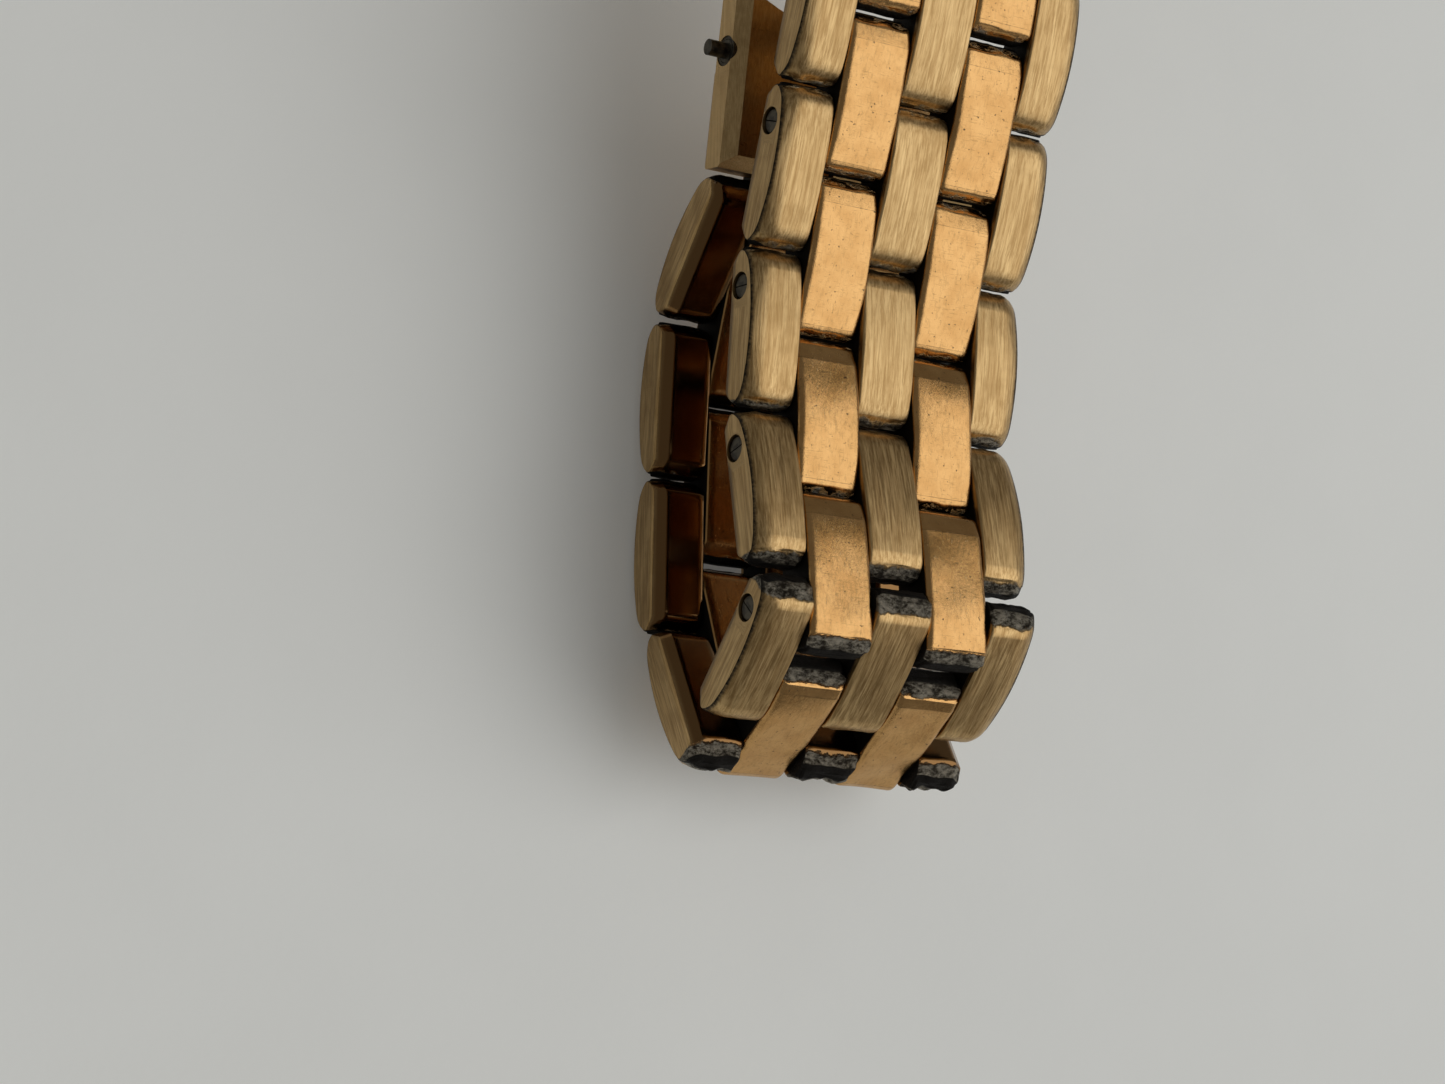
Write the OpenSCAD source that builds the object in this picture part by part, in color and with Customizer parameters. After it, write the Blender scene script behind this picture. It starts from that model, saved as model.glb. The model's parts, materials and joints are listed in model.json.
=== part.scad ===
// Five-row wristwatch bracelet with a fold-over clasp, in millimetres.
//
// Every hinge pin lies along X. The chain runs in the YZ plane: from the near end link
// along the surface that it lies on, back over itself at a tight fold, through the clasp,
// and down round to the far end link. Each piece is drawn in its own frame, with s along
// the chain (Y), n outwards from the wrist (Z), and s = 0 midway between its two pins.

/* [Bracelet] */
// Distance from one hinge pin to the next; a row of links repeats every two
pin_pitch = 4; // [3.6:0.1:4.2]
// Width across the outer columns
bracelet_w = 15.8; // [15.2:0.1:18]
// Half of the centre column's width
centre_half_w = 1.55; // [1.4:0.05:1.7]
// Width of each polished column
polished_w = 3.5; // [3.2:0.05:3.6]
// Sideways gap between two columns
column_gap = 0.05; // [0.03:0.01:0.1]

/* [Links] */
// Gap between the ends of two brushed rows
row_gap = 0.3; // [0.3:0.05:0.6]
// Gap between the ends of two polished rows
polished_gap = 0.5; // [0.5:0.05:0.8]
// Height of a brushed link's crown above the pins
crown_h = 1.4; // [1.3:0.05:1.5]
// Depth of a link's wrist side below the pins
wrist_side_h = 1.1; // [1:0.05:1.2]
// Radius of the crown's long curve
crown_r = 27; // [20:1:60]

/* [Pins] */
// Radius of a link pin
pin_r = 0.6; // [0.5:0.05:0.65]
// Radial running clearance round a link pin
pin_clearance = 0.02; // [0.01:0.01:0.05]

/* [Spring bars] */
// Radius of a spring bar's tube
bar_r = 0.75; // [0.75:0.05:0.85]
// Radius of a spring bar's tip
bar_tip_r = 0.4; // [0.3:0.05:0.4]
// Length of tip that stands out of the end link, into a watch's lug
bar_tip_out = 1; // [0.8:0.1:1.2]

/* [Clasp] */
// Distance between the clasp's two outer hinge pins
clasp_len = 34; // [34:1:38]
// Thickness of a folding blade
blade_t = 0.6; // [0.5:0.05:0.7]
// Radius of a blade's hinge pin
blade_pin_r = 0.4; // [0.35:0.05:0.45]

/* [Case fit] */
// Radius of the round watch case that the end links fit against
case_r = 17; // [15:1:22]

/* [Hidden] */
// Number of brushed rows and polished rows from the near end link to the clasp
near_rows = 9;
near_polished = near_rows + 1;
// Number of brushed rows and polished rows from the clasp to the far end link
far_rows = 3;
far_polished = far_rows + 1;
rows = near_rows + far_rows;
polished_rows = near_polished + far_polished;

// Heading of each segment in turn, in degrees up from +Y: the near end link, polished and
// brushed rows in turn up to the clasp, the clasp, and the same again to the far end link
heading = [
    190, 206, 222, 200, 184, 182, 180, 158, 150, 57, 43, -6, -12, -1, 5, 17, 20, 20, 20, 10,
    0,
    -25, -50, -80, -110, -150, -205, -225, -210
];
clasp_segment = 2 * near_rows + 2;
last_segment = len(heading) - 1;

// Where the near lug's spring bar lies: this centres the bracelet over the origin, with
// its lowest point on z = 0
start_y = -6.85;
start_z = 8.45;

half_w = bracelet_w / 2;
polished_in = centre_half_w + column_gap;
polished_out = polished_in + polished_w;
outer_in = polished_out + column_gap;
link_end = pin_pitch - row_gap / 2;
polished_end = pin_pitch - polished_gap / 2;
half_pitch = pin_pitch / 2;
hole_r = pin_r + pin_clearance;
tip_sleeve_r = bar_r - 0.17;
// Pins end inside the outer columns, short of the side faces
blind_end = half_w - 0.6;
// The pins of a removable link run out to its left side face
head_inset = 0.05;
cut = 0.01;
tall = 6;

brushed_gold = "#B59A6B";
polished_gold = "#C9963F";
pin_steel = "#3A3833";
blade_gold = "#BFA06A";

function pad(k) = str(k < 10 ? "0" : "", k);
brushed_names = [for (k = [1:rows]) str("brushed_row_", pad(k))];
polished_names = [for (k = [1:polished_rows]) str("polished_row_", pad(k))];
pin_names = [for (k = [1:rows]) str("row_pins_", pad(k))];

// Segment number of brushed row k and of polished row k, both counted from 1
function brushed_segment(k) = k <= near_rows ? 2 * k : 2 * k + 2;
function polished_segment(k) = 2 * k - 1;

function segment_len(i) = i == clasp_segment ? clasp_len : pin_pitch;

// Place in the YZ plane of the pin that starts segment i
function pin_at(i) = i == 0
    ? [start_y, start_z]
    : pin_at(i - 1) + segment_len(i - 1) * [cos(heading[i - 1]), sin(heading[i - 1])];

// Puts its children, drawn about the segment's first pin, where segment i lies
module at_pin(i) {
    p = pin_at(i);
    translate([0, p[0], p[1]])
        rotate([heading[i], 0, 0])
            children();
}

// The same for children drawn about the segment's middle
module at_segment(i) {
    at_pin(i)
        translate([0, segment_len(i) / 2, 0])
            children();
}

// Sweeps an outline in (s, n) across the bracelet from x0 to x1
module across(x0, x1) {
    translate([x0, 0, 0])
        rotate([90, 0, 90])
            linear_extrude(height = x1 - x0)
                children();
}

// Sweeps an outline in (x, n) along the chain, centred on s = 0
module along(length) {
    rotate([90, 0, 0])
        linear_extrude(height = length, center = true)
            children();
}

// A round bar along X from x0 to x1 at (s, n)
module bar(x0, x1, r, s = 0, n = 0) {
    translate([x0, s, n])
        rotate([0, 90, 0])
            cylinder(r = r, h = x1 - x0, $fn = 48);
}

// Draws its children again on the other side of the bracelet
module both_sides() {
    children();
    mirror([1, 0, 0])
        children();
}

// Side outline of a link with rounded shoulders: half length, crown height, and how far
// the shoulder's facet runs back from the end
module link_outline(end, crown, facet) {
    shoulder_h = crown - 0.22;
    intersection() {
        polygon([
            [-end, -0.45], [-end + 0.65, -wrist_side_h],
            [end - 0.65, -wrist_side_h], [end, -0.45],
            [end, shoulder_h - 0.5], [end - facet / 3, shoulder_h - 0.2],
            [end - facet, shoulder_h], [end - facet, tall],
            [-end + facet, tall], [-end + facet, shoulder_h],
            [-end + facet / 3, shoulder_h - 0.2], [-end, shoulder_h - 0.5]
        ]);
        translate([0, crown - crown_r])
            circle(r = crown_r, $fn = 200);
    }
}

// Cross-section of the outer column on the right side, with a bevel along its outer edges
module outer_section() {
    polygon([
        [outer_in, -wrist_side_h], [half_w - 0.7, -wrist_side_h], [half_w, -0.6],
        [half_w, 0.75], [half_w - 0.15, 1.08], [half_w - 0.45, 1.3],
        [half_w - 0.6, crown_h + cut], [outer_in, crown_h + cut]
    ]);
}

// Cross-section of the centre column
module centre_section() {
    polygon([
        [-centre_half_w, -wrist_side_h], [centre_half_w, -wrist_side_h],
        [centre_half_w, crown_h - 0.15], [centre_half_w - 0.15, crown_h + cut],
        [0.15 - centre_half_w, crown_h + cut], [-centre_half_w, crown_h - 0.15]
    ]);
}

// Cross-section of the polished column on the right side, with rounded long edges
module polished_section() {
    top = crown_h + 0.1;
    polygon([
        [polished_in, -wrist_side_h], [polished_out, -wrist_side_h],
        [polished_out, top - 0.35], [polished_out - 0.15, top - 0.1],
        [polished_out - 0.4, top + cut], [polished_in + 0.4, top + cut],
        [polished_in + 0.15, top - 0.1], [polished_in, top - 0.35]
    ]);
}

// The two pin holes of a link, blind at both sides or open at the left on its clasp side
module row_holes(open_end) {
    for (end = [-1, 1]) {
        left = end == open_end ? -half_w - cut : -blind_end;
        bar(left, blind_end, hole_r, end * half_pitch);
    }
}

// One brushed row: two outer pieces and a centre piece
module brushed_row(open_end) {
    difference() {
        union() {
            both_sides()
                intersection() {
                    across(outer_in, half_w)
                        link_outline(link_end, crown_h, 0.45);
                    along(2 * pin_pitch)
                        outer_section();
                }
            intersection() {
                across(-centre_half_w, centre_half_w)
                    link_outline(link_end, crown_h, 0.45);
                along(2 * pin_pitch)
                    centre_section();
            }
        }
        row_holes(open_end);
    }
}

// One polished row: a piece on each side of the centre column
module polished_row() {
    difference() {
        both_sides()
            intersection() {
                across(polished_in, polished_out)
                    link_outline(polished_end, crown_h + 0.1, 1.05);
                along(2 * pin_pitch)
                    polished_section();
            }
        row_holes(0);
    }
}

// The two pins that a brushed row holds
module row_pins(open_end) {
    for (end = [-1, 1]) {
        left = end == open_end ? head_inset - half_w : 0.05 - blind_end;
        bar(left, blind_end - 0.05, pin_r, end * half_pitch);
    }
}

// The row's clasp-side end, where a removable row's pins can be driven out: the near
// strand runs towards the clasp, and the far strand away from it. The four rows nearest
// the near lug and the one nearest the far lug aren't removable.
function open_end_of(k) = k <= 4 || k == rows ? 0 : k <= near_rows ? 1 : -1;

// End link, drawn with its spring bar at s = -half_pitch: a solid block shaped to the
// case, and three fingers that carry the first polished row
module end_link_body() {
    block_front = -0.6;
    block_back = -6;
    case_centre = -half_pitch - 1.4 - case_r;
    color(brushed_gold)
        difference() {
            union() {
                intersection() {
                    across(-half_w, half_w)
                        polygon([
                            [block_back, -wrist_side_h], [block_front, -wrist_side_h],
                            [block_front, crown_h - 0.1], [block_back, crown_h - 0.1]
                        ]);
                    along(4 * pin_pitch)
                        polygon([
                            [-half_w, -0.6], [0.7 - half_w, -wrist_side_h],
                            [half_w - 0.7, -wrist_side_h], [half_w, -0.6],
                            [half_w, 0.75], [half_w - 0.45, 1.25], [half_w - 0.6, crown_h],
                            [0.6 - half_w, crown_h], [0.45 - half_w, 1.25], [-half_w, 0.75]
                        ]);
                }
                end_fingers();
            }
            translate([0, case_centre, -tall])
                cylinder(r = case_r, h = 2 * tall, $fn = 200);
            bar(-half_w - cut, half_w + cut, bar_r + pin_clearance, -half_pitch);
            bar(-blind_end, blind_end, hole_r, half_pitch);
        }
}

// The fingers stand in the brushed columns and reach past the pin like a link's end
module end_fingers() {
    both_sides()
        intersection() {
            across(outer_in, half_w)
                finger_outline();
            along(4 * pin_pitch)
                outer_section();
        }
    intersection() {
        across(-centre_half_w, centre_half_w)
            finger_outline();
        along(4 * pin_pitch)
            centre_section();
    }
}

// Side outline of a finger: the outer half of a link, joined to a block at s = -1
module finger_outline() {
    intersection() {
        link_outline(link_end, crown_h, 0.45);
        translate([-1, -tall])
            square([2 * tall, 2 * tall]);
    }
}

// Spring bar: a tube with a tip that telescopes into each end
module spring_bar_tube() {
    color(pin_steel)
        difference() {
            bar(0.05 - half_w, half_w - 0.05, bar_r, -half_pitch);
            both_sides()
                bar(half_w - 2.6, half_w, tip_sleeve_r + 0.03, -half_pitch);
        }
}

// A spring bar's tip: a sleeve that slides in the tube, and the pivot that stands out of it
module spring_bar_tip() {
    color(pin_steel) {
        bar(half_w - 1.4, half_w - 0.05, tip_sleeve_r, -half_pitch);
        bar(half_w - 0.05, half_w + bar_tip_out, bar_tip_r, -half_pitch);
    }
}

// The pin that joins an end link to its first polished row
module end_pin() {
    color(pin_steel)
        bar(0.05 - blind_end, blind_end - 0.05, pin_r, half_pitch);
}

// Turns the far end link's parts to face back along the chain
module far_facing() {
    rotate([0, 0, 180])
        children();
}

// Places along the clasp, counted from its near outer pin
block_from = 2.2;
cover_from = 2.5;
cover_to = 28.6;
blade_hinge_s = 6.2;
cover_hinge_s = 27.4;
blade_hinge_n = -0.75;
cover_hinge_n = 0.05;
knuckle_r = 0.75;
cover_in_n = 0.9;
cover_top_n = 1.7;
wall_in = 7.1;
blade_half_w = 6.8;
base_n = -1.5;
middle_n = -0.6;
base_block_from = 29.7;
base_block_to = clasp_len - 2.6;
middle_half_w = 3;
stud_s = 17;
stud_r = 0.9;
stud_slot = 1.4;

// A solid box from (s0, n0) to (s1, n1), across x0 to x1
module slab(x0, x1, s0, s1, n0, n1) {
    translate([x0, s0, n0])
        cube([x1 - x0, s1 - s0, n1 - n0]);
}

// Fingers about an outer pin at s = 0 that reach back to a block on their +s side
module clasp_fingers() {
    mirror([0, 1, 0])
        translate([0, -half_pitch, 0])
            end_fingers();
}

// Cover: a shallow channel over the folded blades, with the near strand's fingers
module clasp_cover() {
    crown_arc_r = 60;
    color(blade_gold)
        difference() {
            union() {
                intersection() {
                    union() {
                        slab(-half_w, half_w, cover_from, cover_to, cover_in_n, cover_top_n);
                        both_sides()
                            slab(wall_in, half_w, cover_from, cover_to, -0.9, cover_top_n);
                        slab(-half_w, half_w, block_from, cover_from + 1.4, -wrist_side_h, cover_top_n);
                    }
                    along(2 * clasp_len)
                        intersection() {
                            translate([0, cover_top_n - crown_arc_r])
                                circle(r = crown_arc_r, $fn = 200);
                            polygon([
                                [-half_w, -tall], [half_w, -tall], [half_w, 1],
                                [half_w - 0.4, cover_top_n], [0.4 - half_w, cover_top_n],
                                [-half_w, 1]
                            ]);
                        }
                }
                clasp_fingers();
                both_sides()
                    bar(middle_half_w + 0.1, wall_in + 0.1, knuckle_r, cover_hinge_s, cover_hinge_n);
                both_sides()
                    slab(middle_half_w + 0.1, wall_in + 0.1, cover_hinge_s - knuckle_r,
                        cover_hinge_s + knuckle_r, cover_hinge_n, cover_in_n + 0.1);
            }
            bar(-blind_end, blind_end, hole_r);
            bar(-wall_in, wall_in, blade_pin_r + pin_clearance, cover_hinge_s, cover_hinge_n);
            // Fingernail scallop in the cover's free end
            translate([0, cover_to + 2.2, cover_top_n])
                cylinder(r = 3, h = 1, center = true, $fn = 64);
        }
}

// Middle blade: a narrow strip between a hinge under the cover and one on the base
module clasp_middle_blade() {
    color(blade_gold)
        difference() {
            union() {
                slab(-middle_half_w, middle_half_w, blade_hinge_s, cover_hinge_s,
                    middle_n, middle_n + blade_t);
                bar(-middle_half_w, middle_half_w, knuckle_r, cover_hinge_s, cover_hinge_n);
                bar(-middle_half_w, middle_half_w, knuckle_r, blade_hinge_s, blade_hinge_n);
            }
            bar(-middle_half_w - cut, middle_half_w + cut, blade_pin_r + pin_clearance,
                cover_hinge_s, cover_hinge_n);
            bar(-middle_half_w - cut, middle_half_w + cut, blade_pin_r + pin_clearance,
                blade_hinge_s, blade_hinge_n);
            slab(-stud_slot, stud_slot, stud_s - 2 * stud_slot, stud_s + 2 * stud_slot,
                middle_n - cut, middle_n + blade_t + cut);
        }
}

// Base blade: the wide strip against the wrist, with the far strand's fingers
module clasp_base_blade() {
    slot_s = blade_hinge_s + knuckle_r + 0.3;
    color(blade_gold)
        difference() {
            union() {
                slab(-blade_half_w, blade_half_w, blade_hinge_s, base_block_from + 1,
                    base_n, base_n + blade_t);
                slab(-half_w, half_w, base_block_from, base_block_to, base_n, crown_h);
                translate([0, clasp_len, 0])
                    mirror([0, 1, 0])
                        clasp_fingers();
                both_sides()
                    bar(middle_half_w + 0.1, blade_half_w, knuckle_r, blade_hinge_s, blade_hinge_n);
            }
            slab(-middle_half_w - 0.1, middle_half_w + 0.1, 0, slot_s, base_n - cut, 0);
            bar(-blade_half_w + 1, blade_half_w - 1, blade_pin_r + pin_clearance,
                blade_hinge_s, blade_hinge_n);
            bar(-blind_end, blind_end, hole_r, clasp_len);
            translate([0, stud_s, base_n - cut])
                cylinder(r = stud_r, h = 2 * blade_t, $fn = 48);
        }
}

// Catch stud: riveted in the base blade, it stands through the middle blade's slot and
// springs into place under the cover
module clasp_catch_stud() {
    color(pin_steel)
        translate([0, stud_s, base_n])
            cylinder(r = stud_r, h = cover_in_n - 0.15 - base_n, $fn = 48);
}

module clasp_cover_pin() {
    color(pin_steel)
        bar(0.05 - wall_in, wall_in - 0.05, blade_pin_r, cover_hinge_s, cover_hinge_n);
}

module clasp_blade_pin() {
    color(pin_steel)
        bar(1.05 - blade_half_w, blade_half_w - 1.05, blade_pin_r, blade_hinge_s, blade_hinge_n);
}

module clasp_outer_pin(s) {
    color(pin_steel)
        bar(0.05 - blind_end, blind_end - 0.05, pin_r, s);
}

at_segment(0) end_link_body();  // near_end_link
at_segment(0) end_pin();  // near_end_pin
at_segment(0) spring_bar_tube();  // near_spring_bar
at_segment(0) spring_bar_tip();  // near_tip_right
at_segment(0) mirror([1, 0, 0]) spring_bar_tip();  // near_tip_left
at_segment(last_segment) far_facing() end_link_body();  // far_end_link
at_segment(last_segment) far_facing() end_pin();  // far_end_pin
at_segment(last_segment) far_facing() spring_bar_tube();  // far_spring_bar
at_segment(last_segment) far_facing() spring_bar_tip();  // far_tip_left
at_segment(last_segment) far_facing() mirror([1, 0, 0]) spring_bar_tip();  // far_tip_right
at_pin(clasp_segment) clasp_cover();
at_pin(clasp_segment) clasp_middle_blade();
at_pin(clasp_segment) clasp_base_blade();
at_pin(clasp_segment) clasp_catch_stud();
at_pin(clasp_segment) clasp_cover_pin();
at_pin(clasp_segment) clasp_blade_pin();
at_pin(clasp_segment) clasp_outer_pin(0);  // clasp_near_pin
at_pin(clasp_segment) clasp_outer_pin(clasp_len);  // clasp_far_pin
for (k = [1:rows]) {
    at_segment(brushed_segment(k)) color(brushed_gold) brushed_row(open_end_of(k));
    at_segment(brushed_segment(k)) color(pin_steel) row_pins(open_end_of(k));
}
for (k = [1:polished_rows])
    at_segment(polished_segment(k)) color(polished_gold) polished_row();
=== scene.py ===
"""A worn gold-tone five-column wristwatch bracelet, lying folded on a pale surface.

The links are lofted meshes in their own frames, in millimetres: x across the bracelet,
s along the chain and n outwards from the wrist. Each is placed between its two hinge
pins, which come from the frame's joints, and rides on that link's body.
"""
import json
import math
import random

import bmesh
import bpy
from mathutils import Matrix, Vector, noise


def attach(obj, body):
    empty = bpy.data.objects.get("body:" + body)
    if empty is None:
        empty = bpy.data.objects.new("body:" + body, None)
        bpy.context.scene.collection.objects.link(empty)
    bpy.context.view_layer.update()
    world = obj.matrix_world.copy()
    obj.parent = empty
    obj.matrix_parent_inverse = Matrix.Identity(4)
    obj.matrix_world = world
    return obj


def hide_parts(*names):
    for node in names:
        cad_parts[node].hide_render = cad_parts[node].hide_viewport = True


MM = 0.001

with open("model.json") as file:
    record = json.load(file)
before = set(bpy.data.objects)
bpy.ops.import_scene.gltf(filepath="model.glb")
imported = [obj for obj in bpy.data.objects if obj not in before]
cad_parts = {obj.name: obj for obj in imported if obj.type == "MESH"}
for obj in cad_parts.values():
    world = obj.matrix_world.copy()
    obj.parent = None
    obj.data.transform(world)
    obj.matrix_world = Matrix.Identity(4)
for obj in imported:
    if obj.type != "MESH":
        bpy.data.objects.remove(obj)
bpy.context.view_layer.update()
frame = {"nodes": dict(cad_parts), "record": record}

# ---------------------------------------------------------------- sizes, in millimetres

PIN_PITCH = 4.0
HALF_W = 7.9
CENTRE_HALF_W = 1.55
POLISHED_IN = 1.60
POLISHED_OUT = 5.10
OUTER_IN = 5.15
LINK_END = 3.85
POLISHED_END = 3.75
CROWN_H = 1.40
WRIST_SIDE_H = 1.10
CROWN_R = 27.0
LOW_FACET = 0.5
HIGH_FACET = 1.05
FACET_SLOPE = 0.17
POLISHED_CROWN_H = CROWN_H + 0.1
SHOULDER_W = 1.05
SHOULDER_SLOPE = 36.0
WRIST_EDGE = 0.5
END_CHAMFER = 0.65
END_FACE_MIDDLE = 0.05
# Strength of the dark line at the facet crease
CREASE_DARKENING = 0.46
# Strength of the painted shade along the outer shoulder
SHOULDER_SHADE = 0.62
POLISHED_WAVE = 0.10
BRUSHED_WAVE = 0.03
PIN_R = 0.60
PIN_HOLE_R = 0.68
BLIND_END = 7.3
NEAR_ROWS = 9
FAR_ROWS = 3
ROWS = NEAR_ROWS + FAR_ROWS
POLISHED_ROWS = ROWS + 2
CLASP_SEGMENT = 2 * NEAR_ROWS + 2

# ------------------------------------------------------------------ places of the pins


def mount_place(name):
    """(y, z) of a mount, in metres."""
    for mount in frame["record"]["mounts"]:
        if mount["name"] == name:
            return mount["pos_m"][1], mount["pos_m"][2]
    raise ValueError(name)


def pin_places():
    """(y, z) of each pin in turn, from the near spring bar round to the far one."""
    joints = {}
    for joint in frame["record"]["behaviour"]["joints"]:
        if "pos_m" in joint:
            joints[joint["name"]] = (joint["pos_m"][1], joint["pos_m"][2])
    near_count = 2 * NEAR_ROWS + 2
    far_count = 2 * FAR_ROWS + 2
    places = [mount_place("near_tip_left")]
    for k in range(near_count, 0, -1):
        places.append(joints[f"near_pin_{k:02d}"])
    for k in range(1, far_count + 1):
        places.append(joints[f"far_pin_{k:02d}"])
    places.append(mount_place("far_tip_left"))
    return places


PINS = pin_places()


def segment_matrix(i):
    """Where the frame of segment i lies: its origin midway between its two pins."""
    (y0, z0), (y1, z1) = PINS[i], PINS[i + 1]
    heading = math.atan2(z1 - z0, y1 - y0)
    middle = Vector((0, (y0 + y1) / 2, (z0 + z1) / 2))
    return Matrix.Translation(middle) @ Matrix.Rotation(heading, 4, "X")


def brushed_segment(k):
    return 2 * k if k <= NEAR_ROWS else 2 * k + 2


def polished_segment(k):
    return 2 * k - 1


# ------------------------------------------------------------------------ material kit


class Graph:
    """A material's node tree, with short calls for the nodes that the looks are made of."""

    def __init__(self, name):
        self.material = bpy.data.materials.new(name)
        self.material.use_nodes = True
        self.nodes = self.material.node_tree.nodes
        self.links = self.material.node_tree.links
        self.shader = self.nodes["Principled BSDF"]

    def link(self, source, target):
        self.links.new(source, target)

    def put(self, socket, value):
        if isinstance(value, bpy.types.NodeSocket):
            self.link(value, socket)
        else:
            socket.default_value = value

    def attribute(self, name, output="Fac"):
        node = self.nodes.new("ShaderNodeAttribute")
        node.attribute_name = name
        return node.outputs[output]

    def scaled(self, vector, scale):
        node = self.nodes.new("ShaderNodeVectorMath")
        node.operation = "MULTIPLY"
        self.link(vector, node.inputs[0])
        node.inputs[1].default_value = scale
        return node.outputs["Vector"]

    def noise(self, vector, scale, detail=3.0, roughness=0.55):
        node = self.nodes.new("ShaderNodeTexNoise")
        self.link(vector, node.inputs["Vector"])
        node.inputs["Scale"].default_value = scale
        node.inputs["Detail"].default_value = detail
        node.inputs["Roughness"].default_value = roughness
        return node.outputs["Fac"]

    def math(self, operation, a, b=0.0, clamp=False):
        node = self.nodes.new("ShaderNodeMath")
        node.operation = operation
        node.use_clamp = clamp
        self.put(node.inputs[0], a)
        self.put(node.inputs[1], b)
        return node.outputs[0]

    def ramp(self, value, low, high, out_low=0.0, out_high=1.0):
        """Maps low..high of value to out_low..out_high, smoothly and clamped."""
        node = self.nodes.new("ShaderNodeMapRange")
        node.interpolation_type = "SMOOTHSTEP"
        self.link(value, node.inputs["Value"])
        node.inputs["From Min"].default_value = low
        node.inputs["From Max"].default_value = high
        node.inputs["To Min"].default_value = out_low
        node.inputs["To Max"].default_value = out_high
        return node.outputs["Result"]

    def mix(self, factor, a, b):
        node = self.nodes.new("ShaderNodeMix")
        node.data_type = "RGBA"
        self.put(node.inputs[0], factor)
        self.put(node.inputs[6], a)
        self.put(node.inputs[7], b)
        return node.outputs[2]

    def bump(self, height, strength, distance, normal=None):
        node = self.nodes.new("ShaderNodeBump")
        node.inputs["Strength"].default_value = strength
        node.inputs["Distance"].default_value = distance
        self.link(height, node.inputs["Height"])
        if normal is not None:
            self.link(normal, node.inputs["Normal"])
        return node.outputs["Normal"]

    def set(self, **sockets):
        for name, value in sockets.items():
            self.put(self.shader.inputs[name.replace("_", " ")], value)


def rgb(red, green, blue):
    """An opaque colour from sRGB values of 0 to 255."""
    def linear(value):
        value /= 255
        return value / 12.92 if value <= 0.04045 else ((value + 0.055) / 1.055) ** 2.4
    return (linear(red), linear(green), linear(blue), 1.0)


SATIN_GOLD = rgb(186, 153, 104)
SATIN_PALE = rgb(212, 180, 128)
SATIN_DEEP = rgb(142, 111, 68)
BRIGHT_GOLD = rgb(204, 160, 103)
BRIGHT_DEEP = rgb(188, 143, 88)
# Painted shade: a darker gold for the polished wrist side, standing in for the dark it reflects
WRIST_SHADED_GOLD = rgb(128, 96, 60)
STEEL = rgb(158, 150, 134)
STEEL_DARK = rgb(44, 39, 32)
PIN_GREY = rgb(92, 86, 74)
PIN_DARK = rgb(48, 44, 38)
# A dark colour used for grime and for painted shade along the outer shoulder
GRIME_AND_SHADE = rgb(20, 16, 11)


def worn_over(graph, place, colour, roughness, height):
    """Adds worn-through plating and a dark colour that is partly grime and partly painted shade, from
    the mesh's wear value and its grime-and-shade value.
    """
    speckle = graph.noise(place, 1.3, 6.0, 0.7)
    fine = graph.noise(graph.scaled(place, (3.2, 5.0, 5.0)), 1.0, 6.0, 0.75)
    wear = graph.math("ADD", graph.attribute("wear"), graph.math("MULTIPLY", speckle, 0.9))
    wear_mask = graph.ramp(wear, 0.84, 1.0)
    patches = graph.math("ADD", graph.math("MULTIPLY", fine, 0.6), graph.math("MULTIPLY", speckle, 0.4))
    steel = graph.mix(graph.ramp(patches, 0.42, 0.62), STEEL_DARK, STEEL)
    colour = graph.mix(wear_mask, colour, steel)
    # The dark mask is partly grime and partly painted shade: the strip along the outer shoulder stands
    # in for a dark reflection.
    grime_shade = graph.math("ADD", graph.attribute("grime_shade"), graph.math("MULTIPLY", fine, 0.5))
    grime_shade_mask = graph.ramp(grime_shade, 0.5, 0.9)
    colour = graph.mix(grime_shade_mask, colour, GRIME_AND_SHADE)
    worn_rough = graph.math("MULTIPLY", wear_mask, graph.ramp(patches, 0.4, 0.6, 0.55, 0.28))
    rough_step = graph.math("MAXIMUM", worn_rough, graph.math("MULTIPLY", grime_shade_mask, 0.6))
    roughness = graph.math("MAXIMUM", roughness, rough_step)
    pits = graph.math("MULTIPLY", graph.math("ADD", fine, speckle), wear_mask)
    metallic = graph.ramp(grime_shade_mask, 0.3, 1.0, 1.0, 0.2)
    normal = graph.bump(pits, 0.8, 0.00018, graph.bump(height, 0.5, 0.00003))
    graph.set(
        Base_Color=colour, Roughness=roughness, Metallic=metallic, Normal=normal,
        Specular_IOR_Level=0.15,
    )


def brushed_gold_material():
    """Satin gold with a lengthwise grain, polished on the wrist side and darkened there with painted
    shade.
    """
    graph = Graph("brushed_gold")
    place = graph.attribute("place", "Vector")
    grain = graph.noise(graph.scaled(place, (9.0, 0.4, 9.0)), 1.0, 5.0, 0.7)
    streak = graph.noise(graph.scaled(place, (3.6, 0.22, 3.6)), 1.0, 3.0, 0.6)
    patch = graph.noise(place, 0.6, 3.0, 0.6)
    polish = graph.attribute("polish")
    tone = graph.mix(graph.ramp(streak, 0.3, 0.7), SATIN_GOLD, SATIN_PALE)
    tone = graph.mix(graph.ramp(grain, 0.35, 0.62, 0.8, 0.0), tone, SATIN_DEEP)
    tone = graph.mix(graph.ramp(patch, 0.45, 0.75, 0.0, 0.4), tone, SATIN_DEEP)
    # Painted shade: the wrist side takes the darker gold, and the same value also makes it glossier
    tone = graph.mix(polish, tone, WRIST_SHADED_GOLD)
    satin = graph.ramp(grain, 0.25, 0.75, 0.28, 0.44)
    shiny = graph.ramp(patch, 0.3, 0.8, 0.12, 0.24)
    satin_part = graph.math("MULTIPLY", satin, graph.math("SUBTRACT", 1.0, polish))
    roughness = graph.math("ADD", satin_part, graph.math("MULTIPLY", shiny, polish))
    height = graph.math("MULTIPLY", grain, graph.math("SUBTRACT", 1.0, polish))
    worn_over(graph, place, tone, roughness, height)
    return graph.material


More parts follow.
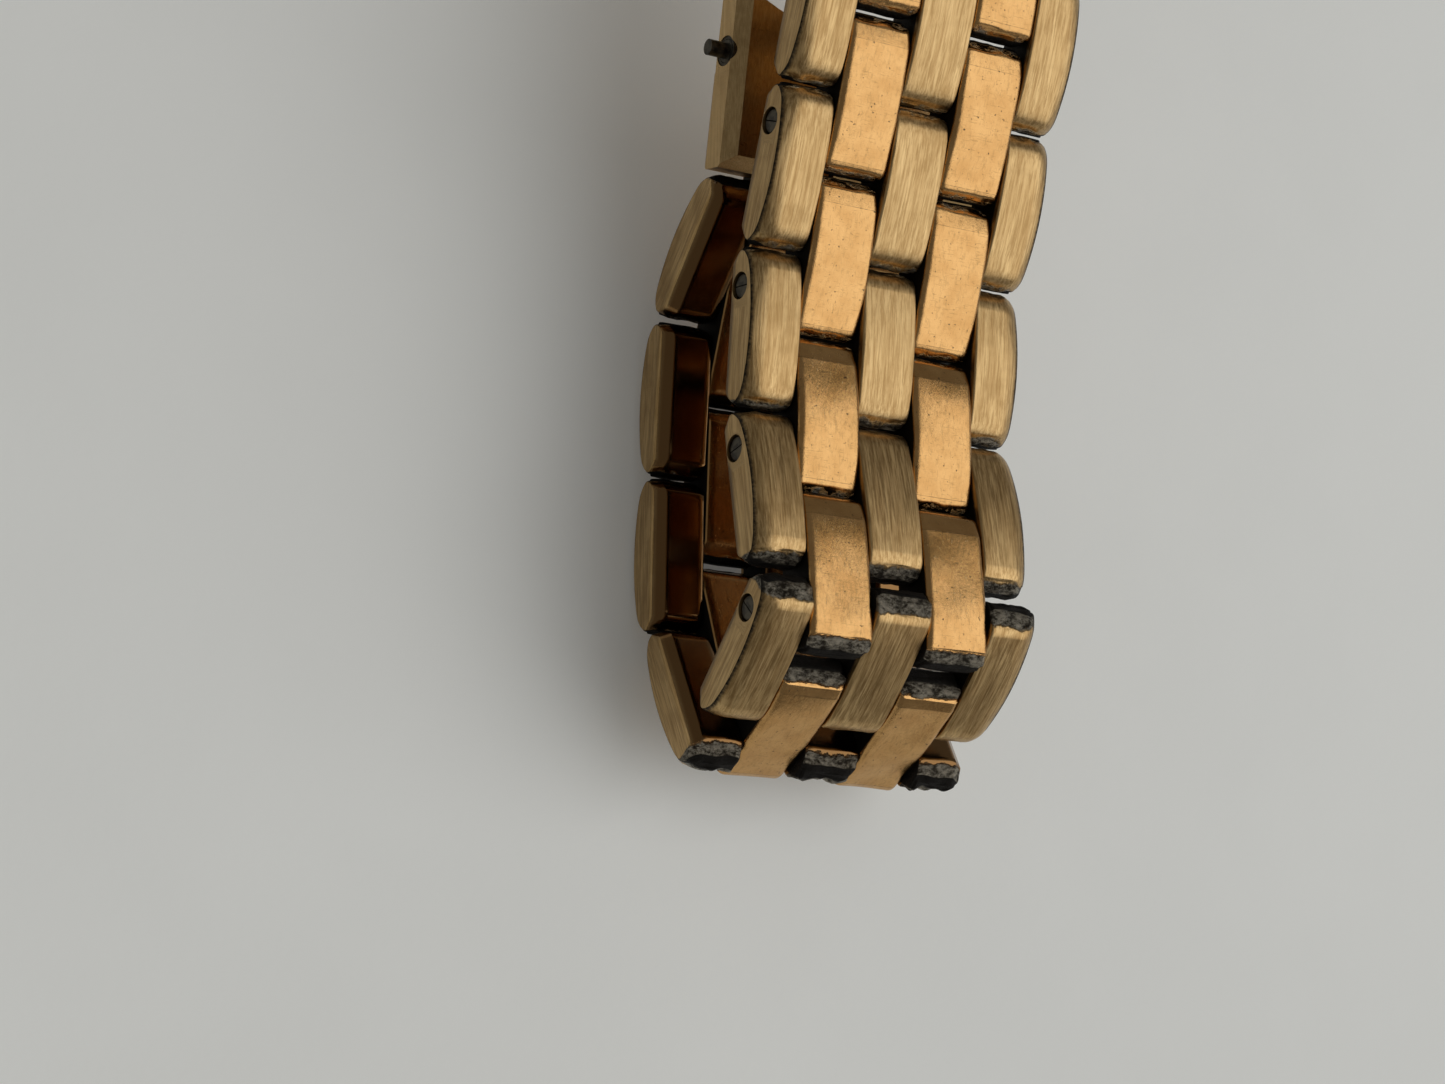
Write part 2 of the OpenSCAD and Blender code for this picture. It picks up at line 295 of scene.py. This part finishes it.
def polished_gold_material():
    """Warm bright gold with fine scuffs and hairline scratches."""
    graph = Graph("polished_gold")
    place = graph.attribute("place", "Vector")
    scuff = graph.noise(graph.scaled(place, (6.0, 2.0, 6.0)), 1.0, 6.0, 0.75)
    haze = graph.noise(place, 0.8, 4.0, 0.6)
    tone = graph.mix(graph.ramp(haze, 0.3, 0.75), BRIGHT_GOLD, BRIGHT_DEEP)
    tone = graph.mix(graph.ramp(scuff, 0.5, 0.75, 0.0, 0.6), tone, SATIN_DEEP)
    hairline = graph.noise(graph.scaled(place, (1.6, 15.0, 1.6)), 1.0, 3.0, 0.6)
    tone = graph.mix(graph.ramp(hairline, 0.6, 0.68, 0.0, 0.45), tone, SATIN_DEEP)
    pinprick = graph.noise(place, 5.5, 2.0, 0.5)
    tone = graph.mix(graph.ramp(pinprick, 0.68, 0.74, 0.0, 0.8), tone, STEEL_DARK)
    roughness = graph.ramp(scuff, 0.3, 0.75, 0.12, 0.30)
    worn_over(graph, place, tone, roughness, scuff)
    return graph.material


def pin_steel_material():
    """Dark dull steel with grime in its pits."""
    graph = Graph("pin_steel")
    coordinates = graph.nodes.new("ShaderNodeTexCoord")
    place = graph.scaled(coordinates.outputs["Object"], (1000.0, 1000.0, 1000.0))
    mottle = graph.noise(place, 2.5, 4.0, 0.6)
    tone = graph.mix(graph.ramp(mottle, 0.35, 0.65), PIN_DARK, PIN_GREY)
    graph.set(
        Base_Color=tone,
        Roughness=graph.ramp(mottle, 0.3, 0.7, 0.35, 0.55),
        Metallic=0.9,
        Normal=graph.bump(mottle, 0.2, 0.00003),
    )
    return graph.material


def clasp_gold_material():
    """Satin gold for the clasp's plain strips, with its grain along the chain."""
    graph = Graph("clasp_gold")
    coordinates = graph.nodes.new("ShaderNodeTexCoord")
    place = graph.scaled(coordinates.outputs["Object"], (1000.0, 1000.0, 1000.0))
    grain = graph.noise(graph.scaled(place, (14.0, 0.3, 14.0)), 1.0, 4.0, 0.65)
    blotch = graph.noise(place, 0.35, 4.0, 0.6)
    scratch = graph.noise(graph.scaled(place, (1.5, 6.0, 1.5)), 1.0, 6.0, 0.8)
    tone = graph.mix(graph.ramp(grain, 0.3, 0.7), SATIN_GOLD, SATIN_PALE)
    tone = graph.mix(graph.ramp(blotch, 0.5, 0.8, 0.0, 0.5), tone, SATIN_DEEP)
    graph.set(
        Base_Color=tone,
        Roughness=graph.ramp(scratch, 0.3, 0.75, 0.26, 0.46),
        Metallic=1.0,
        Normal=graph.bump(grain, 0.3, 0.00003),
    )
    return graph.material


def floor_material():
    """Matt pale grey card with faint mottling."""
    graph = Graph("pale_card")
    coordinates = graph.nodes.new("ShaderNodeTexCoord")
    place = graph.scaled(coordinates.outputs["Object"], (1000.0, 1000.0, 1000.0))
    mottle = graph.noise(place, 0.03, 4.0, 0.6)
    specks = graph.noise(place, 1.6, 3.0, 0.6)
    tone = graph.mix(graph.ramp(mottle, 0.3, 0.7), rgb(235, 236, 232), rgb(239, 240, 236))
    rays = graph.nodes.new("ShaderNodeLightPath").outputs
    seen = graph.math("MAXIMUM", rays["Is Camera Ray"], rays["Is Glossy Ray"])
    seen = graph.math("MAXIMUM", seen, rays["Is Transmission Ray"])
    graph.set(
        Base_Color=tone,
        Roughness=0.75,
        Normal=graph.bump(specks, 0.12, 0.00008),
        Emission_Color=tone,
        Emission_Strength=graph.math("MULTIPLY", seen, 0.09),
    )
    return graph.material


BRUSHED = brushed_gold_material()
POLISHED = polished_gold_material()
PIN_STEEL = pin_steel_material()
CLASP_GOLD = clasp_gold_material()

# ---------------------------------------------------------------------------- meshes


def smooth_step(value):
    value = min(1.0, max(0.0, value))
    return value * value * (3 - 2 * value)


def round_drop(distance, radius):
    """How far a rounded edge has fallen, at this distance before its end."""
    if distance >= radius:
        return 0.0
    inside = radius * radius - (radius - distance) ** 2
    return radius - math.sqrt(max(0.0, inside))


def stations(end):
    """Places along a piece, closer together near its two ends."""
    steps = [0.0, 0.012, 0.035, 0.07, 0.12, 0.19, 0.28, 0.38]
    for facet in (LOW_FACET, HIGH_FACET):
        steps += [facet - 0.06, facet, facet + 0.06, facet + 0.2]
    steps += [1.5, 1.9]
    front = [-end + step for step in steps]
    middle = [-1.5, -0.9, -0.3, 0.3, 0.9, 1.5]
    back = [end - step for step in reversed(steps)]
    return front + middle + back


def corner(cx, cz, rx, rz, start):
    """Points of a quarter ellipse about (cx, cz), from this angle in degrees."""
    points = []
    for step in range(6):
        angle = math.radians(start + 90 * step / 5)
        points.append((cx + rx * math.cos(angle), cz + rz * math.sin(angle)))
    return points


def spread(a, b, count):
    """Points evenly between a and b, without either."""
    return [
        (a[0] + (b[0] - a[0]) * k / (count + 1), a[1] + (b[1] - a[1]) * k / (count + 1))
        for k in range(1, count + 1)
    ]


class Column:
    """The shape of one link: its sides, ends, crown and the radii of its long edges."""

    def __init__(self, x0, x1, end, crown, shoulder, bulge, edge, faceted=False, outer_side=0):
        self.x0 = x0
        self.x1 = x1
        self.end = end
        self.crown = crown
        self.shoulder = shoulder
        self.bulge = bulge
        self.edge = edge
        self.faceted = faceted
        self.outer_side = outer_side

    def facet(self, s):
        """Length of the flat at the end of the top face that s lies nearer to."""
        if not self.faceted:
            return 0.0
        return LOW_FACET if s < 0 else HIGH_FACET

    def top(self, s):
        """Height of the top face: crowned along the chain, and curved down at the ends."""
        distance = max(0.0, self.end - abs(s))
        length, depth = self.shoulder
        height = self.crown - s * s / (2 * CROWN_R)
        facet = self.facet(s)
        if distance < facet:
            height -= FACET_SLOPE * (facet - distance)
        if distance < length:
            height -= depth * (1 - distance / length) ** 2.2
        return height

    def bottom(self, s):
        """Height of the wrist side, with its chamfers at the two ends."""
        chamfer = END_CHAMFER - (self.end - abs(s))
        return -WRIST_SIDE_H + max(0.0, chamfer)

    def outer_fall(self, s):
        """How far the outer shoulder falls below the top: least at the middle of the link."""
        return 0.24 + 0.42 * (s / self.end) ** 2

    def top_corner(self, x, side, s, top):
        """The long upper edge at x, in order from the middle of the top face outwards."""
        if side != self.outer_side:
            arc = corner(0, 0, self.edge, self.edge * 0.85, 0)
            inner = [(x - side * (self.edge - a), top - self.edge * 0.85 + b) for a, b in arc]
            return inner[::-1]
        fall = self.outer_fall(s)
        points = []
        for step in range(9):
            angle = math.radians(SHOULDER_SLOPE * step / 8)
            across = math.sin(angle) / math.sin(math.radians(SHOULDER_SLOPE))
            down = (1 - math.cos(angle)) / (1 - math.cos(math.radians(SHOULDER_SLOPE)))
            points.append((x - side * SHOULDER_W * (1 - across), top - fall * down))
        points.append((x, points[-1][1] - 0.04))
        return points

    def low_corner(self, x, side, bottom, room):
        """The long edge on the wrist side at x, in order from the side face inwards."""
        width = min(WRIST_EDGE, room * 0.4) if side == self.outer_side else 0.1
        shares = (0, 0.06, 0.35, 0.65, 0.94, 1)
        points = [(x - side * width * share, bottom + width * 0.8 * (1 - share)) for share in shares]
        return points

    def ring(self, s):
        """One closed section of the link, anticlockwise from its lower left corner."""
        inset = round_drop(max(0.0, self.end - abs(s)), 0.12)
        x0 = self.x0 + inset
        x1 = self.x1 - inset
        bottom = self.bottom(s)
        top = self.top(s)
        corners = [
            self.low_corner(x0, -1, bottom, top - bottom),
            self.low_corner(x1, 1, bottom, top - bottom)[::-1],
            self.top_corner(x1, 1, s, top)[::-1],
            self.top_corner(x0, -1, s, top),
        ]
        counts = [6, 4, 8, 4]
        points = []
        for k, arc in enumerate(corners):
            points += arc
            points += spread(arc[-1], corners[(k + 1) % 4][0], counts[k])
        return points

    def rows(self):
        """Every section of the link in turn, as points (x, s, n), with its bulging end faces."""
        rows = [[(x, s, z) for x, z in self.ring(s)] for s in stations(self.end)]
        for sign in (-1, 1):
            for across, high, out in ((0.97, 0.9, 0.0), (0.94, 0.66, 0.7), (0.9, 0.36, 1.0)):
                row = []
                for x, z in self.ring(sign * self.end):
                    middle = (self.x0 + self.x1) / 2
                    x = middle + (x - middle) * across
                    z = END_FACE_MIDDLE + (z - END_FACE_MIDDLE) * high
                    row.append((x, sign * (self.end + self.bulge * out), z))
                if sign < 0:
                    rows.insert(0, row)
                else:
                    rows.append(row)
        return rows


def loft(name, column, wear=(0.0, 0.0), polished=False):
    """Lofts a column's sections into one closed mesh with its wear, grime-and-shade and
    polish-and-shade values.
    """
    rows = column.rows()
    count = len(rows[0])
    vertices = [point for row in rows for point in row]
    faces = []
    for r in range(len(rows) - 1):
        for k in range(count):
            following = (k + 1) % count
            a = r * count + k
            b = r * count + following
            faces.append((a, b, b + count, a + count))
    faces.append(tuple(reversed(range(count))))
    last = (len(rows) - 1) * count
    faces.append(tuple(range(last, last + count)))
    shift = random.Random(name)
    offset = Vector((shift.uniform(-50, 50), shift.uniform(-50, 50), shift.uniform(-50, 50)))
    wave = POLISHED_WAVE if polished else BRUSHED_WAVE
    place = []
    wear_values = []
    grime_shade_values = []
    polish_and_shade_values = []
    shaped = []
    for x, s, z in vertices:
        worn = wear_at(column, s, z, wear)
        place += [x + offset[0], s + offset[1], z + offset[2]]
        wear_values.append(worn)
        grime_shade_values.append(grime_shade_at(column, x, s, z))
        polish_and_shade_values.append(polish_and_shade_at(column, s, z, polished))
        shaped.append(Vector(dented(column, (x, s, z), offset, worn, wave)) * MM)
    mesh = bpy.data.meshes.new(name)
    mesh.from_pydata(shaped, [], faces)
    mesh.validate()
    solid = bmesh.new()
    solid.from_mesh(mesh)
    bmesh.ops.recalc_face_normals(solid, faces=solid.faces)
    solid.to_mesh(mesh)
    solid.free()
    mesh.attributes.new("place", "FLOAT_VECTOR", "POINT").data.foreach_set("vector", place)
    store(mesh, "wear", wear_values)
    store(mesh, "grime_shade", grime_shade_values)
    store(mesh, "polish", polish_and_shade_values)
    for polygon in mesh.polygons:
        polygon.use_smooth = True
    return mesh


def dented(column, point, offset, worn, wave):
    """A vertex after the soft dents of the top face and the hollows of a worn end."""
    x, s, z = point
    upper = smooth_step((z - column.top(s) + 0.5) / 0.4)
    soft = noise.noise(Vector((x * 0.35, s * 0.42, 0)) + offset)
    z -= wave * upper * (0.6 - soft)
    if worn > 0.3:
        hollow = 0.5 + noise.noise(Vector((x * 1.7, s * 1.7, z * 1.7)) + offset)
        z -= 0.22 * worn * upper * hollow
        s -= math.copysign(0.16 * worn * hollow, s)
    return x, s, z


def store(mesh, name, values):
    mesh.attributes.new(name, "FLOAT", "POINT").data.foreach_set("value", values)


def wear_at(column, s, z, wear):
    """How far the plating has gone: most at the end faces and the shoulders above them."""
    amount = wear[0] if s < 0 else wear[1]
    reach = 0.25 + 0.75 * amount
    distance = max(0.0, column.end - abs(s))
    return amount * smooth_step(1 - distance / reach)


def grime_shade_at(column, x, s, z):
    """Darkens the hidden sides between columns, low on the end faces, and a line at each facet crease;
    the strip along the outer shoulder is painted shade.
    """
    depth = smooth_step((column.top(s) - z - 0.1) / 0.3)
    end_face = smooth_step(1 - (column.end - abs(s)) / 0.12)
    left_side = smooth_step(1 - (x - column.x0) / 0.06)
    right_side = smooth_step(1 - (column.x1 - x) / 0.06)
    hidden = end_face
    if column.outer_side >= 0:
        hidden = max(hidden, left_side)
    if column.outer_side <= 0:
        hidden = max(hidden, right_side)
    crease = 0.0
    # A dark broken line along the crease between the end facet and the top face
    if column.faceted and z > column.top(s) - 0.3:
        crease = CREASE_DARKENING * smooth_step(1 - abs(column.end - abs(s) - column.facet(s)) / 0.07)
    # Painted shade: a dark strip along the outer shoulder, where the top curves down to the side,
    # stands in for a dark reflection.
    if column.outer_side != 0:
        edge = x - column.x0 if column.outer_side < 0 else column.x1 - x
        above_side = z > column.top(s) - column.outer_fall(s) - 0.02
        crease = SHOULDER_SHADE * smooth_step(1 - edge / 0.4) if above_side else 0.0
    return max(depth * hidden, crease)


def polish_and_shade_at(column, s, z, polished):
    """The wrist side of every link is polished, and a polished link all over; on brushed links this
    also paints shade on the wrist side.
    """
    if polished:
        return 1.0
    return 1.0 - smooth_step((z - column.bottom(s) - 0.3) / 0.15)


# ------------------------------------------------------------------------------ links

LEFT_OUTER = Column(
    -HALF_W, -OUTER_IN, LINK_END, CROWN_H, (1.0, 0.46), bulge=0.12, edge=0.14, outer_side=-1
)
CENTRE = Column(
    -CENTRE_HALF_W, CENTRE_HALF_W, LINK_END, CROWN_H, (1.0, 0.46), bulge=0.12, edge=0.16
)
RIGHT_OUTER = Column(
    OUTER_IN, HALF_W, LINK_END, CROWN_H, (1.0, 0.46), bulge=0.12, edge=0.14, outer_side=1
)
LEFT_POLISHED = Column(
    -POLISHED_OUT, -POLISHED_IN, POLISHED_END, POLISHED_CROWN_H, (0.3, 0.16), bulge=0.22,
    edge=0.34, faceted=True,
)
RIGHT_POLISHED = Column(
    POLISHED_IN, POLISHED_OUT, POLISHED_END, POLISHED_CROWN_H, (0.3, 0.16), bulge=0.22,
    edge=0.34, faceted=True,
)

# How far the plating is worn at each row's two ends, (lug side, clasp side) on the near
# strand, and the same order along the chain on the far one
BRUSHED_WEAR = {4: (0.4, 1.0), 5: (0.4, 0.95), 6: (0.72, 0.4), 7: (0.6, 0.4), 8: (0.5, 0.4)}
POLISHED_WEAR = {5: (0.3, 0.8), 6: (0.85, 0.3)}
LIGHT_WEAR = (0.42, 0.42)
# Rows whose pin can be driven out, with the end that the pin shows at
OPEN_END = {5: 1, 6: 1, 7: 1, 8: 1, 9: 1, 10: -1, 11: -1}


def cut_pin_hole(thing, end):
    """Drills the hole that a removable pin's head lies in, into a left outer link."""
    drill = bmesh.new()
    turn = Matrix.Translation((-HALF_W * MM, end * PIN_PITCH / 2 * MM, 0))
    turn = turn @ Matrix.Rotation(math.radians(90), 4, "Y")
    bmesh.ops.create_cone(
        drill, cap_ends=True, segments=40, radius1=PIN_HOLE_R * MM, radius2=PIN_HOLE_R * MM,
        depth=0.7 * MM, matrix=turn,
    )
    mesh = bpy.data.meshes.new("drill")
    drill.to_mesh(mesh)
    drill.free()
    tool = bpy.data.objects.new("drill", mesh)
    bpy.context.scene.collection.objects.link(tool)
    tool.matrix_world = thing.matrix_world
    cut = thing.modifiers.new("pin hole", "BOOLEAN")
    cut.operation = "DIFFERENCE"
    cut.solver = "EXACT"
    cut.object = tool
    bpy.context.view_layer.update()
    evaluated = thing.evaluated_get(bpy.context.evaluated_depsgraph_get())
    drilled = bpy.data.meshes.new_from_object(evaluated)
    thing.modifiers.remove(cut)
    thing.data = drilled
    bpy.data.objects.remove(tool)


def brushed_rows():
    columns = {"left": LEFT_OUTER, "centre": CENTRE, "right": RIGHT_OUTER}
    for k in range(1, ROWS + 1):
        matrix = segment_matrix(brushed_segment(k))
        wear = BRUSHED_WEAR.get(k, LIGHT_WEAR)
        for place, column in columns.items():
            name = f"brushed_link_{k:02d}_{place}"
            mesh = loft(name, column, wear)
            thing = bpy.data.objects.new(name, mesh)
            bpy.context.scene.collection.objects.link(thing)
            thing.matrix_world = matrix
            if place == "left" and k in OPEN_END:
                cut_pin_hole(thing, OPEN_END[k])
            finish_piece(thing, f"brushed_{k:02d}", f"brushed_row_{k:02d}", BRUSHED)


def finish_piece(thing, body, node, material):
    """Gives a placed piece its material and smooth shading, and hangs it on its body."""
    thing.data.materials.clear()
    thing.data.materials.append(material)
    weighted = thing.modifiers.new("even shading", "WEIGHTED_NORMAL")
    weighted.keep_sharp = True
    bpy.context.view_layer.update()
    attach(thing, body)
    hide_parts(node)


def polished_rows():
    columns = {"left": LEFT_POLISHED, "right": RIGHT_POLISHED}
    for k in range(1, POLISHED_ROWS + 1):
        matrix = segment_matrix(polished_segment(k))
        wear = POLISHED_WEAR.get(k, LIGHT_WEAR)
        for place, column in columns.items():
            name = f"polished_link_{k:02d}_{place}"
            mesh = loft(name, column, wear, polished=True)
            thing = bpy.data.objects.new(name, mesh)
            bpy.context.scene.collection.objects.link(thing)
            thing.matrix_world = matrix
            finish_piece(thing, f"polished_{k:02d}", f"polished_row_{k:02d}", POLISHED)


# ------------------------------------------------------------------------------- pins


def half_disc(solid, x0, x1, s, side, radius):
    """Half of a split pin's head, from x0 to x1, with a rounded rim."""
    slit = 0.035
    profile = [(slit, -1)]
    for step in range(13):
        angle = math.radians(-88 + 176 * step / 12)
        profile.append((max(slit, radius * math.cos(angle)), radius * math.sin(angle)))
    rings = []
    for x, shrink in ((x1, 1.0), (x0 + 0.08, 1.0), (x0 + 0.02, 0.93), (x0, 0.82)):
        ring = []
        for a, b in profile[1:]:
            ring.append(solid.verts.new((x * MM, (s + side * a * shrink) * MM, b * shrink * MM)))
        rings.append(ring)
    for first, second in zip(rings, rings[1:]):
        for k in range(len(first)):
            following = (k + 1) % len(first)
            solid.faces.new((first[k], first[following], second[following], second[k]))
    solid.faces.new(rings[0])
    solid.faces.new(list(reversed(rings[-1])))


def row_pin_mesh(name, open_end):
    """The two pins of a row: plain bars, with a split head at an open end."""
    solid = bmesh.new()
    for end in (-1, 1):
        s = end * PIN_PITCH / 2
        left = -HALF_W + 0.7 if end == open_end else -BLIND_END + 0.05
        right = BLIND_END - 0.05
        turn = Matrix.Translation(((left + right) / 2 * MM, s * MM, 0))
        turn = turn @ Matrix.Rotation(math.radians(90), 4, "Y")
        bmesh.ops.create_cone(
            solid, cap_ends=True, segments=32, radius1=PIN_R * MM, radius2=PIN_R * MM,
            depth=(right - left) * MM, matrix=turn,
        )
        if end == open_end:
            for side in (-1, 1):
                half_disc(solid, -HALF_W + 0.1, left, s, side, PIN_R)
    bmesh.ops.recalc_face_normals(solid, faces=solid.faces)
    mesh = bpy.data.meshes.new(name)
    solid.to_mesh(mesh)
    solid.free()
    return mesh


def row_pins():
    for k in range(1, ROWS + 1):
        name = f"link_pins_{k:02d}"
        thing = bpy.data.objects.new(name, row_pin_mesh(name, OPEN_END.get(k, 0)))
        bpy.context.scene.collection.objects.link(thing)
        thing.matrix_world = segment_matrix(brushed_segment(k))
        finish_piece(thing, f"brushed_{k:02d}", f"row_pins_{k:02d}", PIN_STEEL)


# --------------------------------------------------------- end links, clasp and the rest


def dress_cad_nodes():
    """Gives the CAD pieces that stay their materials and softly broken edges."""
    gold = ["near_end_link", "far_end_link", "clasp_cover", "clasp_middle_blade", "clasp_base_blade"]
    steel = [
        "near_end_pin", "far_end_pin", "near_spring_bar", "far_spring_bar", "near_tip_left",
        "near_tip_right", "far_tip_left", "far_tip_right", "clasp_catch_stud",
        "clasp_cover_pin", "clasp_blade_pin", "clasp_near_pin", "clasp_far_pin",
    ]
    for name in gold:
        dress(name, CLASP_GOLD, 0.12)
    for name in steel:
        dress(name, PIN_STEEL, 0.05)


def dress(name, material, edge):
    node = frame["nodes"][name]
    node.data.materials.clear()
    node.data.materials.append(material)
    bevel = node.modifiers.new("soft edges", "BEVEL")
    bevel.width = edge * MM
    bevel.segments = 2
    bevel.limit_method = "ANGLE"
    bevel.angle_limit = math.radians(35)


# ------------------------------------------------------------------ floor, light, camera


def floor():
    bpy.ops.mesh.primitive_plane_add(size=4.0, location=(0, 0, 0))
    card = bpy.context.object
    card.name = "pale_floor"
    card.data.materials.append(floor_material())


def lamp(name, direction, distance, width, height, radiance):
    """A soft panel light in a direction from the bracelet, turned towards it."""
    light = bpy.data.lights.new(name, "AREA")
    light.shape = "ELLIPSE"
    light.size = width * MM
    light.size_y = height * MM
    light.energy = radiance * math.pi * width * height * MM * MM * math.pi / 4
    thing = bpy.data.objects.new(name, light)
    bpy.context.scene.collection.objects.link(thing)
    outwards = Vector(direction).normalized()
    thing.location = outwards * distance * MM
    thing.rotation_euler = (-outwards).to_track_quat("-Z", "Y").to_euler()


def lights():
    lamp("key_light", (0.62, -0.19, 0.765), 1000, 1300, 1640, 1.28)
    world = bpy.data.worlds.new("studio")
    world.use_nodes = True
    background = world.node_tree.nodes["Background"]
    background.inputs["Color"].default_value = (1.0, 0.98, 0.94, 1)
    background.inputs["Strength"].default_value = 0.16
    bpy.context.scene.world = world


def camera():
    """Looks down from the left, with the strand running up the picture."""
    place = Vector((-81.5, -61.2, 130.8)) * MM
    forward = Vector((0.506, 0.203, -0.838)).normalized()
    right = Vector((0.854, 0.015, 0.519))
    right = (right - forward * right.dot(forward)).normalized()
    up = right.cross(forward)
    turn = Matrix((right, up, -forward)).transposed().to_4x4()
    lens = bpy.data.cameras.new("camera")
    lens.sensor_width = 36.0
    lens.lens = 76.2
    lens.clip_start = 0.005
    thing = bpy.data.objects.new("camera", lens)
    bpy.context.scene.collection.objects.link(thing)
    thing.matrix_world = Matrix.Translation(place) @ turn
    bpy.context.scene.camera = thing


camera()
floor()
lights()
brushed_rows()
polished_rows()
row_pins()
dress_cad_nodes()
bpy.context.scene.view_settings.view_transform = "Standard"
